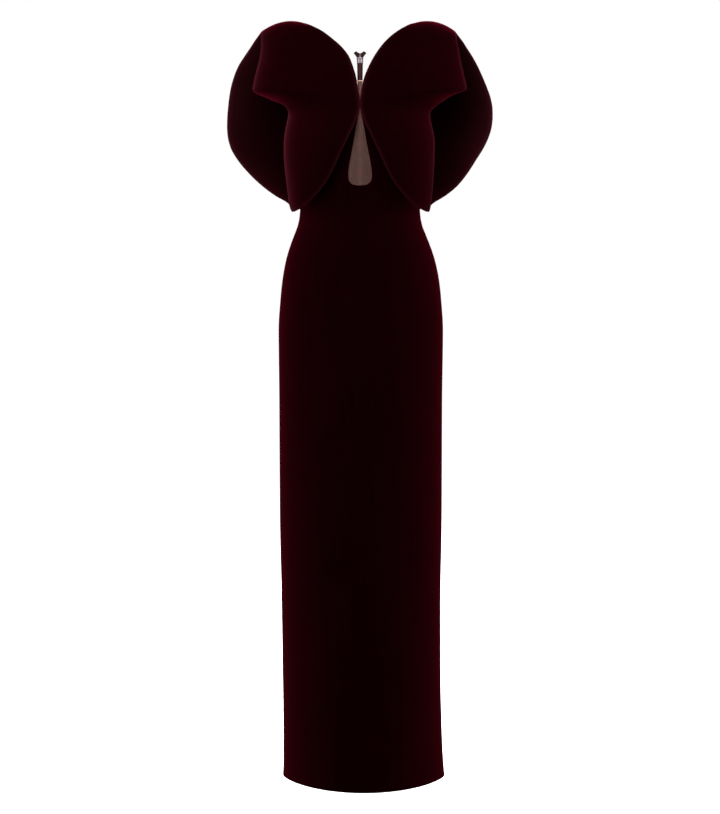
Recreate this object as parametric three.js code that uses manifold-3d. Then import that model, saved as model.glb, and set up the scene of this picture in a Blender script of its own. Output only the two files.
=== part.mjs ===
// Evening gown: a strapless velvet column to the floor, with two pairs of large petals over the shoulders.
// It is filled out as worn.
// Millimetres, +Z up, the front towards -Y. Left and right are the wearer's, so left is +X.
// The origin is the middle of the waist, where the gown is held by whoever wears it.
import * as THREE from "three";
import { mergeVertices } from "three/addons/utils/BufferGeometryUtils.js";
import Module from "manifold-3d";

const wasm = await Module();
wasm.setup();

// Driving dimensions
const velvetWall = 2; // velvet and its backing
const petalWall = 4; // two faces of velvet over a stiff interlining
const meshWall = 1;
const tapeWall = 0.9;
const seamGap = 0.3;
const necklineTop = 263;
const bodiceFrom = 150; // panel rows above this level share out what is left below the top edge
const bodiceRows = 5;
const columnTurn = 7.5; // degrees round the figure for each column of a panel
const insertFoot = 30;
const insertColumns = 2; // to each side of the centre front
const yokeTop = 334;
const yokeRows = 8;
const zipFoot = -177;
const tapeTop = 338;
const sliderHeight = 323; // middle of the slider, up the centre back
const longestStep = 24; // along a petal

function finish(name, color, roughness, more) {
  return new THREE.MeshStandardMaterial({ name, color, roughness, ...more });
}

const VELVET = finish("velvet", 0x2a0308, 0.9);
const TULLE = finish("tulle", 0xc8a292, 0.8, { transparent: true, opacity: 0.3 });
const TAPE = finish("zip tape", 0x462a2a, 0.8);
const METAL = finish("zip metal", 0xb8aeb4, 0.4, { metalness: 0.3 });

// A table, by the names of its columns and a list of numbers for each row.
function table(names, ...rows) {
  return rows.map((row) => Object.fromEntries(names.split(" ").map((name, i) => [name, row[i]])));
}

// The figure that the gown is cut for, from the hem to the nape. wide is the half width, front and back
// are depths, lean is the sideways set, and side is 1 where the section is an ellipse and more where
// the side seams stand out.
const FIGURE = table("z wide front back lean side",
  [-1176, 170.2, 140, 128, 8, 1.4],
  [-1122, 167.5, 137, 127, 6.5, 1.36],
  [-973, 165.7, 131, 126, 3.7, 1.26],
  [-803, 166.2, 125, 124, 2.2, 1.17],
  [-635, 168.7, 120, 123, 1.7, 1.1],
  [-384, 169, 115, 122, 1.5, 1.05],
  [-240, 170.2, 109, 119, 1.7, 1],
  [-177, 166.3, 106, 114, 1.7, 1],
  [-136, 161.8, 103, 107, 1.6, 1],
  [-94, 153.5, 99, 97, 1, 1],
  [-53, 139.8, 95, 86, 0.3, 1],
  [-21, 127.5, 91.5, 79, 0, 1],
  [4, 123.5, 90, 76, 0, 1],
  [30, 124.5, 92.5, 78, 0, 1],
  [50, 126, 96, 81, 0, 1],
  [100, 131, 107, 90, 0, 1],
  [150, 136, 116, 96, 0, 1],
  [190, 139, 120, 99, 0, 1],
  [222, 139, 119.5, 98.5, 0, 1],
  [263, 135, 109, 94, 0, 1],
  [300, 125, 92, 84, 0, 1],
  [345, 108, 66, 60, 0, 1],
);

// Top edge of the velvet, by degrees round from the centre front or centre back.
const FRONT_TOP = table("turn z",
  [0, 263],
  [44, 263],
  [62, 246],
  [78, 214],
  [90, 202],
);
const BACK_TOP = table("turn z",
  [0, 240],
  [40, 233],
  [70, 211],
  [90, 202],
);

// Half of the keyhole, from its foot to the point under the meeting petals.
const KEYHOLE = table("z half",
  [54.6, 0],
  [55.6, 11.5],
  [59.2, 18.4],
  [65.2, 22.6],
  [73, 24.3],
  [83, 23.8],
  [94, 22.2],
  [112, 19],
  [132, 14.9],
  [154, 10.6],
  [176, 6.8],
  [194, 3],
  [203, 1],
  [209, 0],
);
const notchFoot = 224; // the V in the neckline, above the keyhole
const notchHalf = 29;

// A front petal. up runs from the tip by the waist to the shoulder seam. A row goes from the inner
// edge, by the centre, to the outer edge. Both differ from side to side and so have a column for each.
// deep is its depth before the body, broad the half width that it curves round on, and bow how far it
// bows upward.
const FRONT_PETAL = table("up inLeft inRight inZ outLeft outRight outZ deep broad bow",
  [0, 134.5, 133, 2.8, 140, 137.5, 2.3, 100, 160, 0],
  [7, 118.5, 118.5, 10, 142.5, 141.5, 10, 106, 161, 0],
  [18, 103, 103, 22, 144.3, 144.2, 23, 112, 163, 0],
  [34, 87, 87, 37.5, 146, 145.9, 39, 117, 165, 0],
  [54, 71, 71, 57, 147.5, 148.4, 59, 123, 167.5, 0],
  [82, 54.5, 54.5, 84, 149, 151.4, 87, 129, 169.5, 0],
  [109, 41.5, 41.5, 112, 150, 153.5, 116, 134, 170.5, 0],
  [133, 30, 30, 135, 150.5, 153.5, 140, 136, 170.5, 0],
  [157, 18.5, 18.5, 159, 147.4, 151, 164, 136, 168, 0],
  [177, 9.5, 9.5, 178, 142.6, 147, 184, 133, 165.5, 0],
  [195, 3.2, 3.2, 196.5, 141, 144, 201.5, 128, 165, 0],
  [207, 0.4, 0.4, 208.5, 153, 151.4, 215.5, 124.7, 173, 0],
  [217, 0.2, 0.2, 218.5, 168.5, 174, 226.5, 124, 187, 0],
  [225, 0.4, 0.4, 226.5, 182, 192.5, 235, 123.6, 205, 0],
  [231, 1.2, 1.2, 232.5, 197, 208.5, 241.5, 122.9, 221, 0],
  [236, 1.9, 2.4, 237.5, 212, 216.5, 247, 122, 229.5, 0],
  [241, 2.6, 3.4, 242.5, 216, 217.5, 251.5, 121, 231.5, 0],
  [249, 4, 4.6, 250.5, 215.5, 216.5, 258, 119.5, 231, 0],
  [265, 7.6, 7, 266.5, 212, 213.5, 272.5, 115.5, 228, 0],
  [286, 15.2, 12.4, 287, 207.5, 208.5, 292, 107.5, 226, 0],
  [311, 27.5, 21.6, 312, 202.5, 202.5, 316.5, 93.5, 223, 0],
  [332, 40, 35.5, 332, 199, 200, 337, 78, 222, 0],
  [352, 56, 55.5, 351, 196.5, 200.5, 350, 66, 222, 0.5],
  [371, 77, 78, 369, 195.5, 200.5, 359.5, 53.5, 222, 2.5],
  [388, 92, 95, 379, 194.5, 200.5, 365, 38, 222, 6.5],
  [407, 101, 105, 384.5, 194, 200.5, 369, 20, 222, 10],
  [428, 106, 109, 387, 194, 200.5, 371.5, 0, 222, 12.5],
);

// A back petal, read the same way. Its inner edge leaves the zip clear and is the same on both sides.
const BACK_PETAL = table("up inX inZ outLeft outRight outZ deep broad bow",
  [0, 134, 9, 137, 137, 9, 91, 158.7, 0],
  [7, 122, 14, 142, 142, 14, 94, 162.8, 0],
  [18, 107, 24, 152, 149.5, 23, 97, 170, 0],
  [34, 91, 40, 176.5, 175, 38, 101, 192.5, 0],
  [54, 74.5, 60, 201, 202, 58, 106, 216.5, 0],
  [81, 57, 86, 223, 230.5, 85, 110, 242.5, 0],
  [109, 44, 113, 241, 253.5, 113, 112, 263, 0],
  [133, 32, 137, 256, 267, 137, 112, 277, 0],
  [156, 24, 160, 266.5, 273, 160, 111, 285, 0],
  [176, 19, 180, 272, 274.5, 180, 109, 288, 0],
  [196, 16, 200, 274, 274, 200, 105.5, 290, 0],
  [214, 14.5, 218, 273.5, 272.5, 218, 103, 290, 0],
  [236, 15, 240, 269.5, 270, 240, 101.6, 288, 0],
  [261, 18, 265, 262, 266, 262, 100.5, 284, 0],
  [283, 24, 287, 253.5, 260, 282, 94, 277, 0],
  [308, 36, 312, 243, 250.5, 304, 83, 267, 0],
  [331, 50, 332, 230, 236, 326, 70, 252.5, 2],
  [349, 68, 347, 219.5, 225, 341, 60, 238, 4],
  [367, 84, 362, 211, 216.5, 353, 49, 227, 6.5],
  [386, 97, 374, 203.5, 209.5, 362, 35, 220, 9.5],
  [405, 104, 382, 198, 204.5, 368, 18.5, 217, 12],
  [426, 109, 387, 194, 200.5, 371.5, 0, 216, 12.5],
);

// One zip tape: closed up to the slider, held apart by it, and turned out at the top.
const ZIP_TAPE = table("z inner outer",
  [zipFoot, 0.3, 5.2],
  [262, 0.3, 5.2],
  [288, 0.3, 5.8],
  [312, 0.3, 6.2],
  [318, 1.3, 6.7],
  [326, 1.4, 7.2],
  [330, 1.2, 9.6],
  [332.5, 1.2, 11.8],
  [334.5, 1.8, 13.6],
  [336, 4.4, 12.4],
  [tapeTop, 7, 9.8],
);

// The slider's outer plate, neck and inner plate, and the pin that the pull turns on.
const slider = {
  plateWide: 10.2, plateTall: 11.5, plateThick: 2.2, neckWide: 1.8, neckTall: 7,
  crownWide: 6.6, crownTall: 8, crownThick: 1.2, earThick: 1.1, earTall: 5, pinRadius: 0.8, pinStand: 2.6,
};
const pull = { long: 22, wide: 5, thick: 1.2, eyeBore: 1.3, eyeRadius: 2.2, eyeWide: 3.2 };

// The slope of a smooth line through a column of a table at row i, which never makes it overshoot a row.
function slopeAt(rows, key, along, i) {
  const rise = (j) => (rows[j + 1][key] - rows[j][key]) / (rows[j + 1][along] - rows[j][along]);
  if (i === 0) return rise(0);
  if (i === rows.length - 1) return rise(i - 1);
  const before = rise(i - 1);
  const after = rise(i);
  if (before * after <= 0) return 0;
  const spanBefore = rows[i][along] - rows[i - 1][along];
  const spanAfter = rows[i + 1][along] - rows[i][along];
  const weightBefore = 2 * spanAfter + spanBefore;
  const weightAfter = spanAfter + 2 * spanBefore;
  return (weightBefore + weightAfter) / (weightBefore / before + weightAfter / after);
}

// The value of a table's column at a place along it, smooth between the rows.
function read(rows, key, along, at) {
  const last = rows.length - 1;
  if (at <= rows[0][along]) return rows[0][key];
  if (at >= rows[last][along]) return rows[last][key];
  let i = 0;
  while (rows[i + 1][along] < at) i += 1;
  const span = rows[i + 1][along] - rows[i][along];
  const t = (at - rows[i][along]) / span;
  const ease = t * t * (3 - 2 * t);
  return (
    rows[i][key] * (1 - ease) + rows[i + 1][key] * ease +
    slopeAt(rows, key, along, i) * span * t * (1 - t) * (1 - t) -
    slopeAt(rows, key, along, i + 1) * span * t * t * (1 - t)
  );
}

// A point on the figure. turn is in degrees round from the centre front or centre back, towards the
// left side if positive, and facing is -1 in front and 1 behind. Front and back stand a seam's gap
// apart at the sides.
function figurePoint(turn, z, facing) {
  const angle = THREE.MathUtils.degToRad(turn);
  const depth = read(FIGURE, facing < 0 ? "front" : "back", "z", z);
  const y = depth * Math.max(0, Math.cos(angle)) ** read(FIGURE, "side", "z", z) + seamGap / 2;
  const x = read(FIGURE, "lean", "z", z) + read(FIGURE, "wide", "z", z) * Math.sin(angle);
  return new THREE.Vector3(x, facing * y, z);
}

// The turn of a place that is so far from the middle of the figure.
function turnAtX(fromMiddle, z) {
  return THREE.MathUtils.radToDeg(Math.asin(fromMiddle / read(FIGURE, "wide", "z", z)));
}

// The outward normal of a surface, where out tells roughly which way outward is.
function normalAt(surface, u, v, out) {
  const step = 1e-3;
  const across = surface(u + step, v).sub(surface(u - step, v));
  const along = surface(u, v + step).sub(surface(u, v - step));
  const normal = across.cross(along).normalize();
  return normal.dot(out) < 0 ? normal.negate() : normal;
}

// A point at a depth inside the figure's skin.
function skinPoint(turn, z, facing, depth) {
  const skin = (t, height) => figurePoint(t, height, facing);
  const angle = THREE.MathUtils.degToRad(turn);
  const out = new THREE.Vector3(Math.sin(angle), facing * Math.cos(angle), 0);
  return skin(turn, z).addScaledVector(normalAt(skin, turn, z, out), -depth);
}

// Whole numbers from first to last.
function numbers(first, last) {
  return Array.from({ length: last - first + 1 }, (_, i) => first + i);
}

// The levels of a panel's rows, where its top edge is at the given height.
function levelsTo(top) {
  const low = FIGURE.filter((row) => row.z <= bodiceFrom).map((row) => row.z);
  return [...low, ...numbers(1, bodiceRows).map((i) => bodiceFrom + ((top - bodiceFrom) * i) / bodiceRows)];
}

// The levels of the tulle back's rows at the centre back.
function yokeLevels(foot, top) {
  return numbers(0, yokeRows).map((i) => foot + ((top - foot) * i) / yokeRows);
}

// Places from 0 to 1 along a petal's table: at each row, and between rows that are far apart.
function placesAlong(rows) {
  const last = rows[rows.length - 1].up;
  const places = [0];
  for (let i = 1; i < rows.length; i += 1) {
    const span = rows[i].up - rows[i - 1].up;
    const pieces = Math.ceil(span / longestStep);
    for (let j = 1; j <= pieces; j += 1) places.push((rows[i - 1].up + (span * j) / pieces) / last);
  }
  return places;
}

// A wall of cloth as one closed geometry: a grid of columns and rows on each face, and a rim. place(u,
// v, depth) is a point at a depth inside the cloth's outer form.
function wall(place, us, vs, outerDepth, innerDepth) {
  const positions = [];
  const columns = us.length;
  const rows = vs.length;
  for (const depth of [outerDepth, innerDepth]) {
    for (const v of vs) for (const u of us) positions.push(...place(u, v, depth).toArray());
  }
  const at = (face, row, column) => face * rows * columns + row * columns + column;
  const triangles = [];
  const quad = (a, b, c, d) => triangles.push(a, b, c, a, c, d);
  for (let r = 0; r + 1 < rows; r += 1) {
    for (let c = 0; c + 1 < columns; c += 1) {
      quad(at(0, r, c), at(0, r, c + 1), at(0, r + 1, c + 1), at(0, r + 1, c));
      quad(at(1, r, c), at(1, r + 1, c), at(1, r + 1, c + 1), at(1, r, c + 1));
    }
    quad(at(0, r, 0), at(0, r + 1, 0), at(1, r + 1, 0), at(1, r, 0));
    quad(at(0, r + 1, columns - 1), at(0, r, columns - 1), at(1, r, columns - 1), at(1, r + 1, columns - 1));
  }
  for (let c = 0; c + 1 < columns; c += 1) {
    quad(at(0, 0, c + 1), at(0, 0, c), at(1, 0, c), at(1, 0, c + 1));
    quad(at(0, rows - 1, c), at(0, rows - 1, c + 1), at(1, rows - 1, c + 1), at(1, rows - 1, c));
  }
  const geometry = new THREE.BufferGeometry();
  geometry.setAttribute("position", new THREE.Float32BufferAttribute(positions, 3));
  geometry.setIndex(triangles);
  return facingOut(geometry);
}

// The same geometry, turned round if its faces point inward.
function facingOut(geometry) {
  const p = geometry.getAttribute("position");
  const index = geometry.getIndex();
  const [a, b, c] = [new THREE.Vector3(), new THREE.Vector3(), new THREE.Vector3()];
  let volume = 0;
  for (let i = 0; i < index.count; i += 3) {
    a.fromBufferAttribute(p, index.getX(i));
    b.fromBufferAttribute(p, index.getX(i + 1));
    c.fromBufferAttribute(p, index.getX(i + 2));
    volume += a.dot(b.cross(c));
  }
  if (volume < 0) geometry.setIndex([...index.array].reverse());
  geometry.computeVertexNormals();
  return geometry;
}

function solidFrom(geometry) {
  const plain = geometry.clone();
  plain.deleteAttribute("normal");
  plain.deleteAttribute("uv");
  const merged = mergeVertices(plain, 1e-4);
  return new wasm.Manifold(
    new wasm.Mesh({
      numProp: 3,
      vertProperties: merged.getAttribute("position").array,
      triVerts: new Uint32Array(merged.getIndex().array),
    }),
  );
}

function geometryFrom(solid) {
  const made = solid.getMesh();
  const geometry = new THREE.BufferGeometry();
  geometry.setAttribute("position", new THREE.Float32BufferAttribute(made.vertProperties, 3));
  geometry.setIndex([...made.triVerts]);
  geometry.computeVertexNormals();
  return geometry;
}

function piece(name, geometry, material) {
  const mesh = new THREE.Mesh(geometry, material);
  mesh.name = name;
  return mesh;
}

// A velvet panel of the column, from one column of the figure to another. nearEdge gives the turn of
// its first edge by height.
function columnPanel(facing, side, columns, top, nearEdge) {
  const place = (column, row, depth) => {
    const turn = side * columnTurn * column;
    const z = levelsTo(read(top, "z", "turn", Math.abs(turn)))[row];
    return skinPoint(column === columns[0] ? nearEdge(z) : turn, z, facing, depth);
  };
  return wall(place, columns, numbers(0, levelsTo(0).length - 1), 0, velvetWall);
}

// The front, with the keyhole and the V of the neckline cut through it.
function frontPanel() {
  const hole = new THREE.Shape();
  hole.moveTo(0, KEYHOLE[0].z);
  for (const row of KEYHOLE.slice(1)) hole.lineTo(row.half, row.z);
  for (const row of KEYHOLE.slice(1, -1).reverse()) hole.lineTo(-row.half, row.z);
  const notch = new THREE.Shape();
  const clear = 20;
  const spread = (notchHalf * (necklineTop + clear - notchFoot)) / (necklineTop - notchFoot);
  notch.moveTo(0, notchFoot);
  notch.lineTo(spread, necklineTop + clear);
  notch.lineTo(-spread, necklineTop + clear);
  const cutterDepth = 150;
  let solid = solidFrom(columnPanel(-1, 1, numbers(-12, 12), FRONT_TOP, () => -90));
  for (const shape of [hole, notch]) {
    const cutter = new THREE.ExtrudeGeometry(shape, { depth: cutterDepth, bevelEnabled: false });
    // the outline's upright becomes Z, and the cutter runs from the middle forward
    cutter.rotateX(Math.PI / 2);
    solid = solid.subtract(solidFrom(cutter));
  }
  return piece("front_panel", geometryFrom(solid), VELVET);
}

function backPanel(side) {
  const nearEdge = (z) => side * turnAtX(seamGap / 2, z);
  const name = side > 0 ? "back_panel_left" : "back_panel_right";
  return piece(name, columnPanel(1, side, numbers(0, 12), BACK_TOP, nearEdge), VELVET);
}

// The tulle behind the keyhole and the V, on the inside of the velvet.
function frontInsert() {
  const place = (column, z, depth) => skinPoint(columnTurn * column, z, -1, depth);
  const columns = numbers(-insertColumns, insertColumns);
  const levels = levelsTo(necklineTop).filter((z) => z >= insertFoot);
  const depth = velvetWall + seamGap;
  return piece("tulle_front", wall(place, columns, levels, depth, depth + meshWall), TULLE);
}

// Half of the tulle back above the velvet, which the zip is set in.
function yoke(side) {
  const columns = 6;
  const edgeTurn = { foot: 44, top: 32 };
  const topDrop = 4; // from the centre back to the yoke's corner
  const place = (column, row, depth) => {
    const edge = edgeTurn.foot + ((edgeTurn.top - edgeTurn.foot) * row) / yokeRows;
    const turn = column < 1 ? 0 : columnTurn + ((edge - columnTurn) * (column - 1)) / (columns - 1);
    const foot = read(BACK_TOP, "z", "turn", turn) + seamGap;
    const z = yokeLevels(foot, yokeTop - topDrop * (column / columns) ** 2)[row];
    const near = turnAtX(read(ZIP_TAPE, "inner", "z", z), z);
    return skinPoint(side * Math.max(turn, near), z, 1, depth);
  };
  const geometry = wall(place, numbers(0, columns), numbers(0, yokeRows), velvetWall - meshWall, velvetWall);
  return piece(side > 0 ? "tulle_back_left" : "tulle_back_right", geometry, TULLE);
}

// A tape lies flat against the first column of the back panel and of the tulle back.
function zipTape(side) {
  const place = (edge, z, depth) => {
    const near = skinPoint(0, z, 1, depth);
    const far = skinPoint(side * columnTurn, z, 1, depth);
    return near.lerp(far, (side * read(ZIP_TAPE, edge, "z", z)) / (far.x - near.x));
  };
  const backTop = BACK_TOP[0].z;
  const levels = [
    ...levelsTo(backTop).filter((z) => z >= zipFoot),
    ...yokeLevels(backTop + seamGap, yokeTop).slice(1),
    ...ZIP_TAPE.slice(1).map((row) => row.z),
  ];
  const rising = [...new Set(levels)].sort((a, b) => a - b);
  const depth = velvetWall + seamGap;
  const geometry = wall(place, ["inner", "outer"], rising, depth, depth + tapeWall);
  return piece(side > 0 ? "zip_tape_left" : "zip_tape_right", geometry, TAPE);
}

// A petal. side is 1 for the left and -1 for the right; facing is -1 for a front petal and 1 for a back
// one.
function petal(rows, inKey, outKey, side, facing, columns) {
  const last = rows[rows.length - 1].up;
  const surface = (u, v) => {
    const at = (key) => read(rows, key, "up", v * last);
    const x = at(inKey) + (at(outKey) - at(inKey)) * u;
    const z = at("inZ") + (at("outZ") - at("inZ")) * u + at("bow") * 4 * u * (1 - u);
    const y = at("deep") * Math.sqrt(Math.max(0, 1 - (x / at("broad")) ** 2)) + seamGap / 2;
    return new THREE.Vector3(side * x, facing * y, z);
  };
  const place = (u, v, depth) => {
    const out = new THREE.Vector3(side * u * 0.5, facing * (1.1 - v), v * v);
    const point = surface(u, v).addScaledVector(normalAt(surface, u, v, out), -depth);
    point.y = facing * Math.max(facing * point.y, seamGap / 2); // a petal ends at the shoulder seam
    return point;
  };
  return wall(place, numbers(0, columns).map((i) => i / columns), placesAlong(rows), 0, petalWall);
}

// A rounded block centred on x and z, from y = near to y = far.
function block(wide, tall, near, far, radius) {
  const [w, h] = [wide / 2, tall / 2];
  const shape = new THREE.Shape();
  shape.absarc(w - radius, h - radius, radius, 0, Math.PI / 2);
  shape.absarc(-w + radius, h - radius, radius, Math.PI / 2, Math.PI);
  shape.absarc(-w + radius, -h + radius, radius, Math.PI, 1.5 * Math.PI);
  shape.absarc(w - radius, -h + radius, radius, 1.5 * Math.PI, 2 * Math.PI);
  const options = { depth: far - near, bevelEnabled: false, curveSegments: 4 };
  const geometry = new THREE.ExtrudeGeometry(shape, options);
  geometry.rotateX(Math.PI / 2); // the block now runs towards -Y
  return geometry.translate(0, far, 0);
}

// A round bar along X.
function bar(radius, long) {
  return new THREE.CylinderGeometry(radius, radius, long, 20).rotateZ(Math.PI / 2);
}

// The slider and its pull, in a frame whose +Y leaves the cloth at the slider and whose +Z runs up it.
function zipHead() {
  const skin = skinPoint(0, sliderHeight, 1, 0);
  const out = skin.clone().sub(skinPoint(0, sliderHeight, 1, 1));
  const head = new THREE.Group();
  head.position.copy(skin);
  head.rotation.x = Math.atan2(out.z, out.y);

  const plateNear = -(velvetWall + seamGap + tapeWall + seamGap); // the plate lies on the inside of the tapes
  const crownNear = seamGap;
  const crownFar = crownNear + slider.crownThick;
  const pinY = crownFar + slider.pinStand;
  const { plateWide, plateTall, plateThick, neckWide, neckTall } = slider;
  const { crownWide, crownTall, earThick, earTall } = slider;
  let body = solidFrom(block(plateWide, plateTall, plateNear - plateThick, plateNear, 2));
  body = body.add(solidFrom(block(neckWide, neckTall, plateNear - 1, crownNear + 0.6, 0.4)));
  body = body.add(solidFrom(block(crownWide, crownTall, crownNear, crownFar, 1.2)));
  for (const side of [-1, 1]) {
    const ear = block(earThick, earTall, crownFar - 0.3, pinY + slider.pinRadius + 0.7, 0.3);
    body = body.add(solidFrom(ear.translate(side * (crownWide / 2 - earThick / 2), 0, 0)));
  }
  body = body.add(solidFrom(bar(slider.pinRadius, crownWide - earThick).translate(0, pinY, 0)));
  head.add(piece("zip_slider", geometryFrom(body), METAL));

  const { long, wide, thick, eyeBore, eyeRadius, eyeWide } = pull;
  let tab = solidFrom(bar(eyeRadius, eyeWide));
  const stem = block(eyeWide, 4, -thick / 2, thick / 2, 0.3).translate(0, 0, -eyeRadius - 1.2);
  const leaf = block(wide, long - 6, -thick / 2, thick / 2, 2.2);
  leaf.translate(0, 0, -eyeRadius - 2.4 - (long - 6) / 2);
  tab = tab.add(solidFrom(stem)).add(solidFrom(leaf)).subtract(solidFrom(bar(eyeBore, eyeWide + 2)));
  const pullMesh = piece("zip_pull", geometryFrom(tab), METAL);
  pullMesh.position.set(0, pinY, 0);
  head.add(pullMesh);
  return head;
}

const gown = new THREE.Group();
gown.add(frontPanel(), backPanel(1), backPanel(-1), frontInsert());
gown.add(yoke(1), yoke(-1), zipTape(1), zipTape(-1));
gown.add(
  piece("petal_front_left", petal(FRONT_PETAL, "inLeft", "outLeft", 1, -1, 9), VELVET),
  piece("petal_front_right", petal(FRONT_PETAL, "inRight", "outRight", -1, -1, 9), VELVET),
  piece("petal_back_left", petal(BACK_PETAL, "inX", "outLeft", 1, 1, 11), VELVET),
  piece("petal_back_right", petal(BACK_PETAL, "inX", "outRight", -1, 1, 11), VELVET),
);
gown.add(zipHead());

export default gown;
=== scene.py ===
"""A velvet evening gown with petals over the shoulders, filled out as worn, dressed over its solids."""

from bisect import bisect_right
from functools import cache
from math import asin, cos, degrees, exp, hypot, radians, sin, sqrt

import bmesh
import bpy
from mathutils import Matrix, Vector


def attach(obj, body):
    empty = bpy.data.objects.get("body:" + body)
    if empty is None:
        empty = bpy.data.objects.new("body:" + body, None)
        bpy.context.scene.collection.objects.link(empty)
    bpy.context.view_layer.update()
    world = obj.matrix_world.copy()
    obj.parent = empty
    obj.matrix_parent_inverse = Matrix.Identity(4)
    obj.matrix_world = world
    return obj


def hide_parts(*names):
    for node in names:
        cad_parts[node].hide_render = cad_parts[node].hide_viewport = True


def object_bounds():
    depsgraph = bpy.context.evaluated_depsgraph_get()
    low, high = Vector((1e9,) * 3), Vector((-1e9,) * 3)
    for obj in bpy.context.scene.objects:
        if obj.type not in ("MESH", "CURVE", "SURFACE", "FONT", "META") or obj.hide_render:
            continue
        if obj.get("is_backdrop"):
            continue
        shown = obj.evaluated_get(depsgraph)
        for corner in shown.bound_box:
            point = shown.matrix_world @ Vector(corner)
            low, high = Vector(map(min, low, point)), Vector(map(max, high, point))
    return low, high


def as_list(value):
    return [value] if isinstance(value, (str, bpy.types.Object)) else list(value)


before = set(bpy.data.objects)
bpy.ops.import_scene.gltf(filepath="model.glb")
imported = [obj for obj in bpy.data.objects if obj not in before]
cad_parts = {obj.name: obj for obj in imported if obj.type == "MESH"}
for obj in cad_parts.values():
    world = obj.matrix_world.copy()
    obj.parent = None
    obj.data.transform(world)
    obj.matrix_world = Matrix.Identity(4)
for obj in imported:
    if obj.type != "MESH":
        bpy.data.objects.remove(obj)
cad_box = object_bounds()

# Driving dimensions, in millimetres
MM = 0.001
VELVET_WALL = 2
PETAL_WALL = 4
SHOULDER_ROUND = 0.8  # how near the shoulder seam a petal's faces turn in to meet
RIM_TURN_IN = 1.6  # how far in from a petal's outer edge the round of its rim would otherwise end
TULLE_WALL = 0.5
BINDING_WALL = 0.9
TAPE_WALL = 0.9
SEAM_GAP = 0.3
DRAWN_SEAM = 0.04  # seams are drawn nearly closed, so that hardly any light shows through them
NECKLINE = 263
BINDING_FOOT = 260.9
BINDING_TOP = 263.1
TULLE_FOOT = 30
TULLE_TOP = 262.5
TULLE_TURN = 15  # how far the front tulle reaches round from the centre front, in degrees
BACK_TULLE_TOP = 334
BACK_TULLE_TURN = 44  # how far the back tulle reaches round at its foot, and how much less at its top
BACK_TULLE_TAPER = 12
KEYHOLE_FOOT = 54.6
KEYHOLE_BROAD = 73
KEYHOLE_TOP = 209
NOTCH_FOOT = 224
NEAR_OPENING = 45  # further from the middle than this, no velvet is by the keyhole or the V
BUST = 150  # above it the rows of the velvet sink toward the top edge, which falls away at the sides
HEM = -1176
FLOOR = -1177
TAPE_FOOT = -177
TAPE_TOP = 338
SLIDER_FOOT = 317
SLIDER_MIDDLE = 323
TAPE_PARTS = 312  # up from here the tapes are held apart
GROOVE = 1.5
TOOTH_PITCH = 2
TOOTH_REACH = 4
STOP_WIDE = 3.4
STOP_TALL = 7.6
STOP_MIDDLE = 330.8
RIM_HIGHLIGHT = 0.9  # strength of the painted highlight along a petal's rim, and over how many millimetres it fades
RIM_FADE = 2
SHEEN_ATTRIBUTE = "painted_sheen"  # the attribute that says how much painted sheen, a lighter colour standing in for light catching the velvet, lies on a place
SIDE_SEAM = 90  # degrees round from the centre front or the centre back
PER_DEGREE = 2.2  # about how many millimetres a degree round the figure spans by the centre front or back
PER_DEGREE_ASIDE = 2  # the same further round


class Rows:
    """A short table whose columns are read smoothly between its rows, without passing any of them."""

    def __init__(self, along, columns, rows):
        named = dict(zip([along, *columns.split()], zip(*rows)))
        self.at = named.pop(along)
        self.columns = {name: (values, self.slopes(values)) for name, values in named.items()}

    def slopes(self, values):
        spans = [b - a for a, b in zip(self.at, self.at[1:])]
        rises = [(b - a) / span for a, b, span in zip(values, values[1:], spans)]
        inner = []
        for before, after, span_before, span_after in zip(rises, rises[1:], spans, spans[1:]):
            if before * after <= 0:
                inner.append(0)
                continue
            weights = 2 * span_after + span_before, span_after + 2 * span_before
            inner.append(sum(weights) / (weights[0] / before + weights[1] / after))
        return [rises[0], *inner, rises[-1]]

    @cache
    def __call__(self, column, at):
        values, slopes = self.columns[column]
        at = min(max(at, self.at[0]), self.at[-1])
        i = min(bisect_right(self.at, at), len(self.at) - 1) - 1
        span = self.at[i + 1] - self.at[i]
        t = (at - self.at[i]) / span
        ease = t * t * (3 - 2 * t)
        bend = slopes[i] * t * (1 - t) ** 2 - slopes[i + 1] * t * t * (1 - t)
        return values[i] * (1 - ease) + values[i + 1] * ease + span * bend


# The figure that the gown is cut for: half width, depths, sideways set, and how far the side seams stand out
FIGURE = Rows("z", "wide front back lean side", [
    (-1176, 170.2, 140, 128, 8, 1.4),
    (-1122, 167.5, 137, 127, 6.5, 1.36),
    (-973, 165.7, 131, 126, 3.7, 1.26),
    (-803, 166.2, 125, 124, 2.2, 1.17),
    (-635, 168.7, 120, 123, 1.7, 1.1),
    (-384, 169, 115, 122, 1.5, 1.05),
    (-240, 170.2, 109, 119, 1.7, 1),
    (-177, 166.3, 106, 114, 1.7, 1),
    (-136, 161.8, 103, 107, 1.6, 1),
    (-94, 153.5, 99, 97, 1, 1),
    (-53, 139.8, 95, 86, 0.3, 1),
    (-21, 127.5, 91.5, 79, 0, 1),
    (4, 123.5, 90, 76, 0, 1),
    (30, 124.5, 92.5, 78, 0, 1),
    (50, 126, 96, 81, 0, 1),
    (100, 131, 107, 90, 0, 1),
    (150, 136, 116, 96, 0, 1),
    (190, 139, 120, 99, 0, 1),
    (222, 139, 119.5, 98.5, 0, 1),
    (263, 135, 109, 94, 0, 1),
    (300, 125, 92, 84, 0, 1),
    (345, 108, 66, 60, 0, 1),
])

# Top edge of the velvet, by degrees round from the centre front or the centre back
FRONT_TOP = Rows("turn", "z", [(0, 263), (44, 263), (62, 246), (78, 214), (90, 202)])
BACK_TOP = Rows("turn", "z", [(0, 240), (40, 233), (70, 211), (90, 202)])

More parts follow.
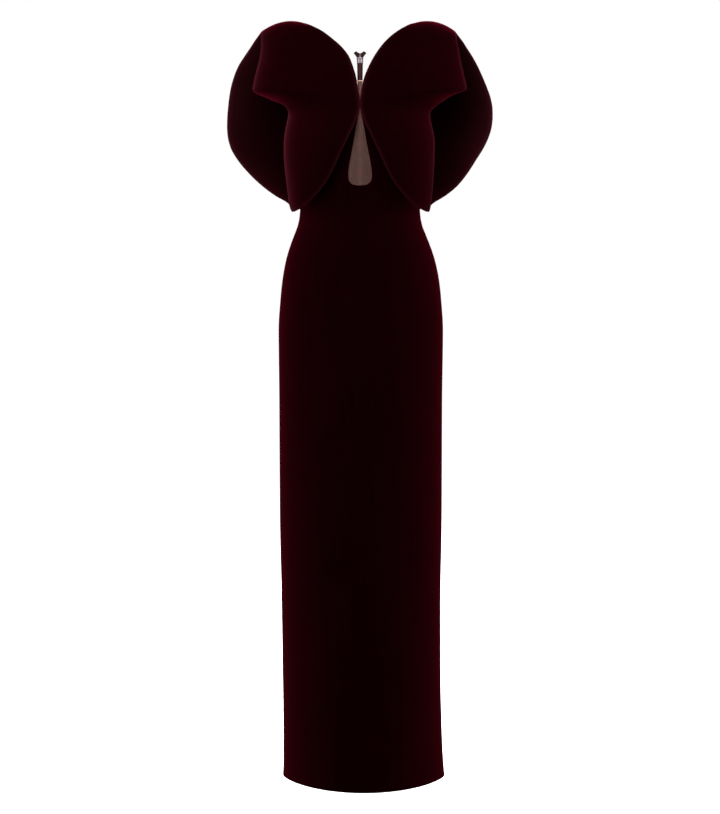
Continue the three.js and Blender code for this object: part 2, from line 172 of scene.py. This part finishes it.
# Half width of the opening down the centre front: the keyhole, a closed stretch, and the V of the neckline
OPENING = Rows("z", "half", [
    (54.6, 0),
    (54.8, 5.2),
    (55.6, 11.5),
    (59.2, 18.4),
    (65.2, 22.6),
    (73, 24.3),
    (83, 23.8),
    (94, 22.2),
    (112, 19),
    (132, 14.9),
    (154, 10.6),
    (176, 6.8),
    (194, 3),
    (203, 1),
    (209, 0),
    (224, 0),
    (225, 0.7),
    (263, 29),
])

# A front petal, from its tip by the waist up to the shoulder seam: the two ends of a row, its depth before
# the body, the half width that it curves round on, and how far it bows upward
FRONT_PETAL = Rows("up", "inLeft inRight inZ outLeft outRight outZ deep broad bow", [
    (0, 134.5, 133, 2.8, 140, 137.5, 2.3, 100, 160, 0),
    (7, 118.5, 118.5, 10, 142.5, 141.5, 10, 106, 161, 0),
    (18, 103, 103, 22, 144.3, 144.2, 23, 112, 163, 0),
    (34, 87, 87, 37.5, 146, 145.9, 39, 117, 165, 0),
    (54, 71, 71, 57, 147.5, 148.4, 59, 123, 167.5, 0),
    (82, 54.5, 54.5, 84, 149, 151.4, 87, 129, 169.5, 0),
    (109, 41.5, 41.5, 112, 150, 153.5, 116, 134, 170.5, 0),
    (133, 30, 30, 135, 150.5, 153.5, 140, 136, 170.5, 0),
    (157, 18.5, 18.5, 159, 147.4, 151, 164, 136, 168, 0),
    (177, 9.5, 9.5, 178, 142.6, 147, 184, 133, 165.5, 0),
    (195, 3.2, 3.2, 196.5, 141, 144, 201.5, 128, 165, 0),
    (207, 0.4, 0.4, 208.5, 153, 151.4, 215.5, 124.7, 173, 0),
    (217, 0.2, 0.2, 218.5, 168.5, 174, 226.5, 124, 187, 0),
    (225, 0.4, 0.4, 226.5, 182, 192.5, 235, 123.6, 205, 0),
    (231, 1.2, 1.2, 232.5, 197, 208.5, 241.5, 122.9, 221, 0),
    (236, 1.9, 2.4, 237.5, 212, 216.5, 247, 122, 229.5, 0),
    (241, 2.6, 3.4, 242.5, 216, 217.5, 251.5, 121, 231.5, 0),
    (249, 4, 4.6, 250.5, 215.5, 216.5, 258, 119.5, 231, 0),
    (265, 7.6, 7, 266.5, 212, 213.5, 272.5, 115.5, 228, 0),
    (286, 15.2, 12.4, 287, 207.5, 208.5, 292, 107.5, 226, 0),
    (311, 27.5, 21.6, 312, 202.5, 202.5, 316.5, 93.5, 223, 0),
    (332, 40, 35.5, 332, 199, 200, 337, 78, 222, 0),
    (352, 56, 55.5, 351, 196.5, 200.5, 350, 66, 222, 0.5),
    (371, 77, 78, 369, 195.5, 200.5, 359.5, 53.5, 222, 2.5),
    (388, 92, 95, 379, 194.5, 200.5, 365, 38, 222, 6.5),
    (407, 101, 105, 384.5, 194, 200.5, 369, 20, 222, 10),
    (428, 106, 109, 387, 194, 200.5, 371.5, 0, 222, 12.5),
])

# A back petal, read the same way, with an outer edge for each side of the gown
BACK_PETAL = Rows("up", "inX inZ outLeft outRight outZ deep broad bow", [
    (0, 134, 9, 137, 137, 9, 91, 158.7, 0),
    (7, 122, 14, 142, 142, 14, 94, 162.8, 0),
    (18, 107, 24, 152, 149.5, 23, 97, 170, 0),
    (34, 91, 40, 176.5, 175, 38, 101, 192.5, 0),
    (54, 74.5, 60, 201, 202, 58, 106, 216.5, 0),
    (81, 57, 86, 223, 230.5, 85, 110, 242.5, 0),
    (109, 44, 113, 241, 253.5, 113, 112, 263, 0),
    (133, 32, 137, 256, 267, 137, 112, 277, 0),
    (156, 24, 160, 266.5, 273, 160, 111, 285, 0),
    (176, 19, 180, 272, 274.5, 180, 109, 288, 0),
    (196, 16, 200, 274, 274, 200, 105.5, 290, 0),
    (214, 14.5, 218, 273.5, 272.5, 218, 103, 290, 0),
    (236, 15, 240, 269.5, 270, 240, 101.6, 288, 0),
    (261, 18, 265, 262, 266, 262, 100.5, 284, 0),
    (283, 24, 287, 253.5, 260, 282, 94, 277, 0),
    (308, 36, 312, 243, 250.5, 304, 83, 267, 0),
    (331, 50, 332, 230, 236, 326, 70, 252.5, 2),
    (349, 68, 347, 219.5, 225, 341, 60, 238, 4),
    (367, 84, 362, 211, 216.5, 353, 49, 227, 6.5),
    (386, 97, 374, 203.5, 209.5, 362, 35, 220, 9.5),
    (405, 104, 382, 198, 204.5, 368, 18.5, 217, 12),
    (426, 109, 387, 194, 200.5, 371.5, 0, 216, 12.5),
])

# One zip tape: closed up to the slider, held apart by it, and turned out at the top
ZIP_TAPE = Rows("z", "inner outer", [
    (-177, 0.3, 5.2),
    (262, 0.3, 5.2),
    (288, 0.3, 5.8),
    (312, 0.3, 6.2),
    (318, 1.3, 6.7),
    (326, 1.4, 7.2),
    (330, 1.2, 9.6),
    (332.5, 1.2, 11.8),
    (334.5, 1.8, 13.6),
    (336, 4.4, 12.4),
    (338, 7, 9.8),
])

# The share of its painted sheen that a petal's outer edge has at each height, from the tip up to the shoulder
# seam
EDGE_SHEEN = Rows("up", "front back", [
    (0, 1.3, 0.3),
    (20, 0.9, 0.2),
    (80, 0.9, 0.6),
    (185, 0.8, 0.9),
    (205, 0.15, 0.9),
    (234, 0.15, 0.9),
    (245, 0.5, 0.9),
    (428, 0.3, 0.9),
])


class Value:
    """A number that varies over a surface. Its arithmetic adds Math nodes to its finish."""

    def __init__(self, finish, socket):
        self.finish, self.socket = finish, socket

    def __add__(self, other):
        return self.finish.math("ADD", self, other)

    def __sub__(self, other):
        return self.finish.math("SUBTRACT", self, other)

    def __rsub__(self, other):
        return self.finish.math("SUBTRACT", other, self)

    def __mul__(self, other):
        return self.finish.math("MULTIPLY", self, other)

    __radd__, __rmul__ = __add__, __mul__


class Finish:
    """A material under construction, with one Principled shader."""

    def __init__(self, name, **shader):
        self.material = bpy.data.materials.new(name)
        self.material.use_nodes = True
        self.tree = self.material.node_tree
        self.shader = self.tree.nodes["Principled BSDF"]
        for socket, value in shader.items():
            self.shader.inputs[socket.replace("_", " ")].default_value = value
        self.place = self.node("ShaderNodeTexCoord", out="Object")

    def node(self, kind, settings=None, sockets=None, out=0):
        """A node of a kind, its settings made first and then its sockets, as the Value of one output."""
        made = self.tree.nodes.new(kind)
        for setting, value in (settings or {}).items():
            setattr(made, setting, value)
        for socket, value in (sockets or {}).items():
            self.feed(made.inputs[socket], value)
        return Value(self, made.outputs[out])

    def feed(self, socket, value):
        if isinstance(value, Value):
            self.tree.links.new(value.socket, socket)
        else:
            socket.default_value = value

    def math(self, operation, *values):
        return self.node("ShaderNodeMath", {"operation": operation}, dict(enumerate(values)))

    def coordinate(self, axis):
        return self.node("ShaderNodeSeparateXYZ", None, {"Vector": self.place}, axis)

    def noise(self, scale, detail=2, stretch=(1, 1, 1)):
        """Soft blotches from 0 to 1, about so many to the metre, drawn out along an axis by a small stretch."""
        place = self.node("ShaderNodeMapping", None, {"Vector": self.place, "Scale": stretch})
        sockets = {"Vector": place, "Scale": scale, "Detail": detail}
        return self.node("ShaderNodeTexNoise", None, sockets, "Fac")

    def between(self, low, high, amount):
        """A colour from low to high."""
        low, high = (end if isinstance(end, Value) else (*end, 1) for end in (low, high))
        sockets = {0: amount, 6: low, 7: high}
        return self.node("ShaderNodeMix", {"data_type": "RGBA"}, sockets, 2)

    def bump(self, height, distance, strength=1):
        sockets = {"Height": height, "Distance": distance, "Strength": strength}
        self.feed(self.shader.inputs["Normal"], self.node("ShaderNodeBump", None, sockets, "Normal"))

    def paint(self, **sockets):
        for socket, value in sockets.items():
            self.feed(self.shader.inputs[socket.replace("_", " ")], value)
        return self.material


def velvet():
    """Dark burgundy pile: nearly black seen straight on, lighter toward a turn, with painted sheen laid on as a
    lighter colour where the attribute says.
    """
    finish = Finish(
        "velvet", Roughness=1, Specular_IOR_Level=0,
        Sheen_Weight=1, Sheen_Roughness=0.38, Sheen_Tint=(0.056, 0.0015, 0.0055, 1),
    )
    pile = finish.noise(1500, 3)
    streaks = finish.noise(90, 3, (1, 1, 0.12))
    brushed = finish.noise(14, 3, (1, 1, 0.4))
    finish.bump(pile * 0.12 + streaks * 0.3 + brushed, 0.0006, 0.6)
    shade = brushed * 0.55 + streaks * 0.4 + pile * 0.05
    lying = finish.between((0.001, 0.00003, 0.00012), (0.0032, 0.0001, 0.0004), shade)
    painted_sheen_share = finish.node("ShaderNodeAttribute", {"attribute_name": SHEEN_ATTRIBUTE}, None, "Fac")
    # painted sheen: the lighter colour stands in for light catching the petals' rims and turned outer edges
    return finish.paint(Base_Color=finish.between(lying, (0.0143, 0.0022, 0.0034), painted_sheen_share))


def tulle(name, between, thread):
    """Sheer nude net: how far it hides what is behind it, between its threads and on them."""
    finish = Finish(name, Roughness=0.9, Specular_IOR_Level=0.1)
    holes_per_metre, thread_width = 620, 0.09
    sockets = {"Vector": finish.place, "Scale": holes_per_metre}
    off_thread = finish.node("ShaderNodeTexVoronoi", {"feature": "DISTANCE_TO_EDGE"}, sockets, "Distance")
    on_thread = finish.math("LESS_THAN", off_thread, thread_width)
    finish.paint(Base_Color=finish.between((0.50, 0.255, 0.21), (0.62, 0.34, 0.285), finish.noise(60)))
    return finish.paint(Alpha=on_thread * (thread - between) + between)


def binding():
    """Nude tape along the top of the front tulle."""
    finish = Finish("binding", Roughness=0.8, Specular_IOR_Level=0.2)
    return finish.paint(Base_Color=finish.between((0.26, 0.14, 0.11), (0.34, 0.19, 0.15), finish.noise(900)))


def tape(name, low, high):
    """Plum weave, ribbed across. The zip's teeth have the same ribs in a lighter plum."""
    finish = Finish(name, Roughness=0.9, Specular_IOR_Level=0.05)
    sockets = {"Vector": finish.place, "Scale": 420, "Distortion": 0.6}
    ribs = finish.node("ShaderNodeTexWave", {"bands_direction": "Z"}, sockets, "Fac")
    finish.bump(ribs, 0.0002, 0.6)
    return finish.paint(Base_Color=finish.between(low, high, ribs))


def zip_metal(name, grooved):
    """Pale enamel, rubbed a little, and where it is grooved, with a groove each way across its plate, painted
    dark as shade in the groove.
    """
    finish = Finish(name, Metallic=0.25, Roughness=0.38)
    rubbed = finish.noise(900, 4, (1, 1, 0.2))
    enamel = finish.between((0.38, 0.31, 0.35), (0.52, 0.43, 0.48), rubbed)
    if grooved:
        across, up = finish.coordinate("X"), finish.coordinate("Z") - SLIDER_MIDDLE * MM
        off_groove = finish.math("MINIMUM", finish.math("ABSOLUTE", across), finish.math("ABSOLUTE", up))
        shaded_groove = finish.math("LESS_THAN", off_groove, GROOVE / 2 * MM)
        # painted shade: the groove's colour is darkened to stand for the shade falling in it
        enamel = finish.between(enamel, (0.16, 0.12, 0.14), shaded_groove)
        finish.bump(rubbed * 0.1 - shaded_groove, 0.0002)
    return finish.paint(Base_Color=enamel, Roughness=rubbed * 0.2 + 0.28)


VELVET = velvet()
TAPE = tape("zip tape", (0.018, 0.0065, 0.008), (0.034, 0.0125, 0.0155))
COIL = tape("zip coil", (0.06, 0.02, 0.021), (0.08, 0.028, 0.031))
FRONT_TULLE = tulle("front tulle", 0.007, 0.074)
BACK_TULLE = tulle("back tulle", 0.004, 0.04)
BINDING = binding()
SLIDER_ENAMEL, PULL_ENAMEL = zip_metal("slider enamel", True), zip_metal("pull enamel", False)


def figure_point(turn, z, facing):
    """A point on the figure, so many degrees round from the centre front (facing -1) or back (facing 1)."""
    angle = radians(turn)
    depth = FIGURE("front" if facing < 0 else "back", z)
    y = depth * max(0, cos(angle)) ** FIGURE("side", z) + DRAWN_SEAM / 2
    return Vector((FIGURE("lean", z) + FIGURE("wide", z) * sin(angle), facing * y, z))


def turn_at(from_middle, z):
    """How many degrees round a place is that lies so far from the middle."""
    return degrees(asin(from_middle / FIGURE("wide", z)))


def spread(first, last, count):
    """Evenly spaced numbers, both ends among them."""
    return [first + (last - first) * i / count for i in range(count + 1)]


def denser(places, longest):
    """The same rising numbers, with more between those that lie further apart than the longest step."""
    made = [places[0]]
    for place in places[1:]:
        steps = max(1, round((place - made[-1]) / longest + 0.49))  # rounded up, but for a sliver over
        made += spread(made[-1], place, steps)[1:]
    return made


def spread_on(places, last, count):
    """The places, and then evenly spaced ones on to the last."""
    return [*places, *spread(places[-1], last, count)[1:]]


def rim(radius):
    """Distances from a rounded edge, closer together toward it."""
    return [radius * (1 - cos(radians(angle))) for angle in (0, 25, 50, 70, 90)]


def rounded(distance, radius):
    """The share of its whole thickness that a wall has at a distance from a rounded edge."""
    return sqrt(1 - max(0, 1 - max(0, distance) / radius) ** 2)


def way_out(surface, u, v, inside):
    """Which way a surface faces, away from a point inside it."""
    across = surface(u + 0.002, v) - surface(u - 0.002, v)
    along = surface(u, v + 0.2) - surface(u, v - 0.2)
    out = across.cross(along).normalized()
    return out if out.dot(surface(u, v) - inside) > 0 else -out


def level_middle(point):
    """The middle of the gown at a point's height."""
    return Vector((0, 0, point.z))


def no_painted_sheen(u, v):
    """No painted sheen anywhere."""
    return 0


def add_wall(bm, columns, rows, surface, fullness, wall, inside=level_middle, painted_sheen_share=no_painted_sheen):
    """Adds both faces of a wall under surface(u, v), for the columns(v) of each row. They meet at fullness 0.

    The last argument says how much painted sheen, a lighter colour standing in for light, is laid on at (u, v).
    """
    places = [columns(v) for v in rows]
    # This layer holds each vertex's share of painted sheen.
    pile = bm.verts.layers.float.get(SHEEN_ATTRIBUTE) or bm.verts.layers.float.new(SHEEN_ATTRIBUTE)
    for face in (-1, 1):
        grid = bmesh.ops.create_grid(bm, x_segments=len(places[0]) - 1, y_segments=len(rows) - 1, size=1)
        for vert in grid["verts"]:
            row = round((vert.co.y + 1) / 2 * (len(rows) - 1))
            u, v = places[row][round((vert.co.x + 1) / 2 * (len(places[0]) - 1))], rows[row]
            point = surface(u, v)
            depth = wall / 2 * (1 + face * fullness(u, v))
            vert.co = point - way_out(surface, u, v, inside(point)) * depth
            vert[pile] = painted_sheen_share(u, v)


def finish_piece(name, bm, material, node=None):
    """Makes an object of the bmesh, in metres, that rides on the gown and stands for the node, if any."""
    bmesh.ops.remove_doubles(bm, verts=bm.verts, dist=0.004)
    bmesh.ops.recalc_face_normals(bm, faces=bm.faces)
    bmesh.ops.scale(bm, vec=(MM, MM, MM), verts=bm.verts)
    mesh = bpy.data.meshes.new(name)
    bm.to_mesh(mesh)
    bm.free()
    mesh.shade_smooth()
    piece = bpy.data.objects.new(name, mesh)
    bpy.context.collection.objects.link(piece)
    mesh.materials.append(material)
    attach(piece, "gown")
    if node:
        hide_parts(node)
    return piece


def sunk(z, top, highest):
    """The height of a row of the velvet where its top edge is at top, and at its highest is at highest."""
    return BUST + (z - BUST) * (top - BUST) / (highest - BUST) if z > BUST else z


def opening_outline():
    """Points round the keyhole and the V, as (from the middle, z)."""
    levels = [KEYHOLE_FOOT + rise for rise in (0, 0.1, 0.2, 0.6, 1, 2.2, 4.6)]
    levels = [*denser([*levels, KEYHOLE_BROAD], 1.5), *denser([KEYHOLE_BROAD, KEYHOLE_TOP], 3)]
    levels += denser([NOTCH_FOOT, NOTCH_FOOT + 1, NECKLINE], 3)
    return [(OPENING("half", z), z) for z in levels]


def to_side_seam(places):
    """The places of the columns of a velvet wall, from those by its middle to the round of its side seam."""
    by_seam = [SIDE_SEAM - step / PER_DEGREE_ASIDE for step in reversed(rim(VELVET_WALL / 2)[:-1])]
    return [*spread_on(places, SIDE_SEAM - 1 / PER_DEGREE_ASIDE, 32), *by_seam]


def front_velvet():
    """The front of the column, with the keyhole and the V of the neckline."""
    bm = bmesh.new()
    outline = opening_outline()
    edge = rim(VELVET_WALL / 2)
    foot = [KEYHOLE_FOOT - step for step in reversed(edge)]
    cheeks = [KEYHOLE_FOOT + rise for rise in (0.1, 0.4, 1, 2.6, 4.6, 7.4, 10.6, 14.4)]
    top = [NECKLINE - step for step in reversed(edge)]
    rows = [HEM + step for step in edge[:-1]]
    rows += [*denser([HEM + edge[-1], foot[0]], 16), *foot[1:], *cheeks]
    rows += [*denser([KEYHOLE_BROAD, BUST, 203, KEYHOLE_TOP, NOTCH_FOOT, top[0]], 4), *top[1:]]

    def nearest(z):
        """How many degrees round the velvet starts, past the opening."""
        return turn_at(OPENING("half", z), z) if z > KEYHOLE_FOOT else 0

    def columns(z):
        return to_side_seam([nearest(z) + step / PER_DEGREE for step in edge])

    def level(turn, z):
        return sunk(z, FRONT_TOP("z", turn), NECKLINE)

    def fullness(turn, z):
        off_middle, height = FIGURE("wide", z) * sin(radians(turn)), level(turn, z)
        ends = min(z - HEM, NECKLINE - z, (SIDE_SEAM - turn) * PER_DEGREE_ASIDE)
        if off_middle < NEAR_OPENING:
            ends = min(ends, min(hypot(off_middle - x, height - at) for x, at in outline))
        if OPENING("half", z) > 0.01 and z > KEYHOLE_FOOT:
            ends = min(ends, (turn - nearest(z)) * PER_DEGREE)
        return rounded(ends, VELVET_WALL / 2)

    for side in (-1, 1):

        def surface(turn, z, side=side):
            return figure_point(side * turn, level(turn, z), -1)

        add_wall(bm, columns, rows, surface, fullness, VELVET_WALL)
    piece = finish_piece("front_velvet", bm, VELVET, "front_panel")


def back_velvet(side, name):
    """Half of the back of the column."""
    bm = bmesh.new()
    edge = rim(VELVET_WALL / 2)
    crown = BACK_TOP("z", 0)
    rows = [HEM + step for step in edge[:-1]]
    rows += [*denser([HEM + edge[-1], BUST], 16), *denser([BUST, crown - edge[-1]], 6)[1:]]
    rows += [crown - step for step in reversed(edge[:-1])]

    def columns(z):
        return to_side_seam([turn_at(DRAWN_SEAM / 2, z) + step / PER_DEGREE for step in edge])

    def surface(turn, z):
        return figure_point(side * turn, sunk(z, BACK_TOP("z", turn), crown), 1)

    def fullness(turn, z):
        off_middle_seam = (turn - turn_at(DRAWN_SEAM / 2, z)) * PER_DEGREE
        off_side_seam = (SIDE_SEAM - turn) * PER_DEGREE_ASIDE
        return rounded(min(z - HEM, crown - z, off_middle_seam, off_side_seam), VELVET_WALL / 2)

    add_wall(bm, columns, rows, surface, fullness, VELVET_WALL)
    piece = finish_piece(f"back_velvet_{name}", bm, VELVET, f"back_panel_{name}")


def petal(rows, in_key, out_key, side, facing, name, edge_sheen, fade):
    """A stiff petal with a round rim, by its rows and the names of its edges' columns.

    Painted sheen lies all round the rim as a thin painted highlight, and more along the outer edge by the given
    strength, fading over about fade millimetres; it stands in for light on the turned edges.
    """
    bm = bmesh.new()
    crest = rows.at[-1]
    within = Vector((side * 110, 0, 200))

    def surface(across, up):
        x = rows(in_key, up) + (rows(out_key, up) + RIM_TURN_IN - rows(in_key, up)) * across
        z = rows("inZ", up) + (rows("outZ", up) - rows("inZ", up)) * across
        z += rows("bow", up) * 4 * across * (1 - across)
        y = rows("deep", up) * sqrt(max(0, 1 - (x / rows("broad", up)) ** 2)) + DRAWN_SEAM / 2
        return Vector((side * x, facing * y, z))

    def reach(across, up):
        """How far it is across the petal, square to the edge at this end of a row."""
        along_row = surface(across + 0.01, up) - surface(across - 0.01, up)
        along_edge = surface(across, up + 1) - surface(across, up - 1)
        return along_row.cross(along_edge).length / along_edge.length / 0.02

    @cache
    def rims(up):
        """The reach from both edges, and the width of the rim on each."""
        return [(far, min(PETAL_WALL / 2, 0.45 * far)) for far in (reach(0, up), reach(1, up))]

    def columns(up):
        (near, near_rim), (far, far_rim) = rims(up)
        inner = [step / near for step in rim(near_rim)]
        outer = [1 - step / far for step in reversed(rim(far_rim))]
        return [*spread_on(inner, outer[0], 30), *outer[1:]]

    def fullness(across, up):
        (near, near_rim), (far, far_rim) = rims(up)
        return min(
            rounded(across * near, near_rim), rounded((1 - across) * far, far_rim),
            rounded(up, PETAL_WALL / 2), rounded(crest - up, SHOULDER_ROUND),
        )

    def painted_sheen_share(across, up):
        (near, _), (far, _) = rims(up)
        inner, outer = across * near, (1 - across) * far
        # A thin painted highlight round the rim, and a wider band of painted sheen along the outer edge.
        rim_highlight = RIM_HIGHLIGHT * exp(-min(inner, outer, up, crest - up) / RIM_FADE)
        return rim_highlight + edge_sheen * EDGE_SHEEN("front" if facing < 0 else "back", up) * exp(-outer / fade)

    tip, seam = rim(PETAL_WALL / 2), rim(SHOULDER_ROUND)
    levels = [*tip[:-1], *denser([tip[-1], *rows.at[1:-1], crest - seam[-1]], 4)]
    levels += [crest - step for step in reversed(seam[:-1])]
    add_wall(bm, columns, levels, surface, fullness, PETAL_WALL, lambda point: within, painted_sheen_share)
    piece = finish_piece(f"velvet_{name}", bm, VELVET, name)


def front_tulle():
    """Tulle inside the opening, and the binding along its top edge."""
    bm, band_bm = bmesh.new(), bmesh.new()

    def inside_velvet(turn, z, off=VELVET_WALL + SEAM_GAP):
        point = figure_point(turn, z, -1)
        return point - Vector((point.x, point.y, 0)).normalized() * off

    def fullness(foot, top, radius):
        def of_place(turn, z):
            return rounded(min((TULLE_TURN - abs(turn)) * PER_DEGREE_ASIDE, z - foot, top - z), radius)

        return of_place

    turns = [*spread_on([-TULLE_TURN, 0.1 - TULLE_TURN], TULLE_TURN - 0.1, 16), TULLE_TURN]
    rows = [TULLE_FOOT, TULLE_FOOT + 0.3, *spread(TULLE_FOOT + 2, 260, 60), 262.2, TULLE_TOP]
    sheer = fullness(TULLE_FOOT, TULLE_TOP, TULLE_WALL / 2)
    add_wall(bm, lambda z: turns, rows, inside_velvet, sheer, TULLE_WALL)
    piece = finish_piece("front_tulle", bm, FRONT_TULLE, "tulle_front")

    add_wall(
        band_bm, lambda z: turns, [BINDING_FOOT, 261.1, 261.5, 262, 262.5, 262.9, BINDING_TOP],
        lambda turn, z: inside_velvet(turn, z, VELVET_WALL + SEAM_GAP - 0.1),
        fullness(BINDING_FOOT, BINDING_TOP, 0.5), BINDING_WALL,
    )
    band = finish_piece("tulle_binding", band_bm, BINDING)


def back_tulle(side, name):
    """Half of the sheer upper back, from the velvet's top edge up, beside the zip."""
    bm = bmesh.new()

    def surface(across, up):
        turn = (BACK_TULLE_TURN - BACK_TULLE_TAPER * up) * across
        foot = BACK_TOP("z", turn) + SEAM_GAP
        z = foot + (BACK_TULLE_TOP - 4 * across**2 - foot) * up
        point = figure_point(side * max(turn, turn_at(ZIP_TAPE("inner", z), z)), z, 1)
        return point - Vector((point.x, point.y, 0)).normalized() * (VELVET_WALL / 2)

    def fullness(across, up):
        about_wide = 80
        return rounded(min(across, 1 - across, up, 1 - up) * about_wide, TULLE_WALL / 2)

    places = [0, 0.003, *spread(0.04, 0.96, 20), 0.997, 1]
    add_wall(bm, lambda up: places, places, surface, fullness, TULLE_WALL)
    piece = finish_piece(f"back_tulle_{name}", bm, BACK_TULLE, f"tulle_back_{name}")


def inside_back(from_middle, z, off):
    """A point behind the centre back seam, so far inside the velvet's outer face."""
    point = figure_point(turn_at(from_middle, z), z, 1)
    return point - Vector((point.x, point.y, 0)).normalized() * off


def zip_tape(side, name):
    """A tape with its stop and its row of teeth, which interlock with the other tape's up to the slider."""
    bm = bmesh.new()
    edge = rim(TAPE_WALL / 2)

    def width(z):
        return ZIP_TAPE("outer", z) - ZIP_TAPE("inner", z)

    def surface(across, z):
        outward = ZIP_TAPE("inner", z) + width(z) * across
        return inside_back(side * outward, z, VELVET_WALL + SEAM_GAP)

    def columns(z):
        steps = [min(0.4, step / width(z)) for step in edge]
        return [*spread_on(steps, 1 - steps[-1], 4), *(1 - step for step in reversed(steps[:-1]))]

    def fullness(across, z):
        nearest_side = min(across * width(z), (1 - across) * width(z))
        return rounded(min(nearest_side, z - TAPE_FOOT, TAPE_TOP - z), TAPE_WALL / 2)

    rows = [TAPE_FOOT + step for step in edge[:-1]]
    rows += denser([TAPE_FOOT + edge[-1], 300, TAPE_PARTS], 6)
    rows += denser([TAPE_PARTS, 318, 330, 334, TAPE_TOP - edge[-1]], 1.5)[1:]
    rows += [TAPE_TOP - step for step in reversed(edge[:-1])]
    add_wall(bm, columns, rows, surface, fullness, TAPE_WALL)
    piece = finish_piece(f"tape_{name}", bm, TAPE, f"zip_tape_{name}")
    trim, carrier = [zip_teeth(side, name), zip_stop(side, name)], f"back_velvet_{name}"
    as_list(trim)


def add_block(bm, from_middle, z, size, rounding):
    """A small block with rounded edges, on the inner face of a tape."""
    block = bmesh.ops.create_cube(bm, size=1)
    bmesh.ops.scale(bm, vec=size, verts=block["verts"])
    sunk_in = 0.05
    centre = inside_back(from_middle, z, VELVET_WALL + SEAM_GAP + TAPE_WALL + size[1] / 2 - sunk_in)
    bmesh.ops.translate(bm, vec=centre, verts=block["verts"])
    edges = list({edge for vert in block["verts"] for edge in vert.link_edges})
    bmesh.ops.bevel(bm, geom=edges, offset=rounding, affect="EDGES", segments=1, profile=0.5, material=-1)


def zip_teeth(side, name):
    """A tape's teeth, from near its foot up to the slider. The two rows are half a pitch apart."""
    bm = bmesh.new()
    size = TOOTH_REACH, 0.8, TOOTH_PITCH / 2 - 0.02
    first = TAPE_FOOT + 3 + (TOOTH_PITCH / 2 if side > 0 else 0)
    for tooth in range(int((SLIDER_FOOT - first) / TOOTH_PITCH)):
        add_block(bm, side, first + tooth * TOOTH_PITCH, size, 0.12)
    return finish_piece(f"teeth_{name}", bm, COIL)


def zip_stop(side, name):
    """The stop that keeps the slider from running off the top of a tape."""
    bm = bmesh.new()
    add_block(bm, side * (STOP_WIDE / 2 + SEAM_GAP), STOP_MIDDLE, (STOP_WIDE, 1.4, STOP_TALL), 0.4)
    return finish_piece(f"stop_{name}", bm, TAPE)


front_velvet()
front_tulle()
# The right petals carry much more painted edge sheen than the left, painted light standing in for the key lamp
# on their side; the back petals carry a broad band of painted light, lighter toward their outer edges.
for side, name, in_key, out_key, edge_sheen, fade in (
    (1, "left", "inLeft", "outLeft", 0.28, 16), (-1, "right", "inRight", "outRight", 1, 14),
):
    back_velvet(side, name)
    petal(FRONT_PETAL, in_key, out_key, side, -1, f"petal_front_{name}", edge_sheen, fade)
    petal(BACK_PETAL, "inX", out_key, side, 1, f"petal_back_{name}", 0.6, 60)
    back_tulle(side, name)
    zip_tape(side, name)

for node, enamel in (("zip_slider", SLIDER_ENAMEL), ("zip_pull", PULL_ENAMEL)):
    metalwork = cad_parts[node]
    metalwork.data.materials.clear()
    metalwork.data.materials.append(enamel)


def studio():
    """A white floor and surround, which throw no light on the gown, and soft boxes all round it."""
    bm = bmesh.new()
    half_floor = 60
    bmesh.ops.create_grid(bm, x_segments=1, y_segments=1, size=half_floor)
    bmesh.ops.translate(bm, vec=(0, 0, FLOOR * MM), verts=bm.verts)
    mesh = bpy.data.meshes.new("floor")
    bm.to_mesh(mesh)
    bm.free()
    floor = bpy.data.objects.new("floor", mesh)
    bpy.context.collection.objects.link(floor)
    white = (1, 1, 1, 1)
    paper = Finish(
        "paper", Roughness=1, Base_Color=(0.8, 0.8, 0.8, 1), Emission_Color=white, Emission_Strength=1,
    )
    mesh.materials.append(paper.material)
    floor.visible_diffuse = False
    floor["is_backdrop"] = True

    world = bpy.data.worlds.new("surround")
    world.use_nodes = True
    world.node_tree.nodes["Background"].inputs["Color"].default_value = white
    world.node_tree.nodes["Background"].inputs["Strength"].default_value = 1
    world.cycles_visibility.diffuse = False
    bpy.context.scene.world = world

    aim = Vector((0, 0, -0.2))
    for name, place, size, power in (
        ("key", (-1.9, -3.3, 1.3), 1.8, 230),
        ("front", (0.2, -2.8, 1.1), 1.6, 105),
        ("above", (0, -0.8, 2.6), 1.5, 60),
        ("left_edge", (-2.4, 0.6, 0.4), 1.4, 270),
        ("right_edge", (2.4, 0.6, 0.4), 1.4, 280),
        ("right", (3.2, -1.2, 0.6), 1.8, 80),
        ("behind", (0.4, 3.6, 1), 2, 100),
    ):
        light = bpy.data.lights.new(name, "AREA")
        light.shape, light.size, light.energy = "SQUARE", size, power
        lamp = bpy.data.objects.new(name, light)
        lamp.location = place
        lamp.rotation_euler = (aim - Vector(place)).to_track_quat("-Z", "Y").to_euler()
        bpy.context.collection.objects.link(lamp)


def camera():
    """The photograph's viewing angle, from just below the waist."""
    eye, target = Vector((0, -4, -0.1)), Vector((0, 0, -0.3987))
    lens = bpy.data.cameras.new("camera")
    lens.lens, lens.sensor_width, lens.clip_end = 85.48, 36, 200
    made = bpy.data.objects.new("camera", lens)
    made.location = eye
    made.rotation_euler = (target - eye).to_track_quat("-Z", "Y").to_euler()
    bpy.context.collection.objects.link(made)
    bpy.context.scene.camera = made


studio()
camera()
bpy.context.scene.view_settings.view_transform = "Standard"

boxes = {"cad": cad_box, "visual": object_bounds()}
{name: [list(corner) for corner in box] for name, box in boxes.items()}
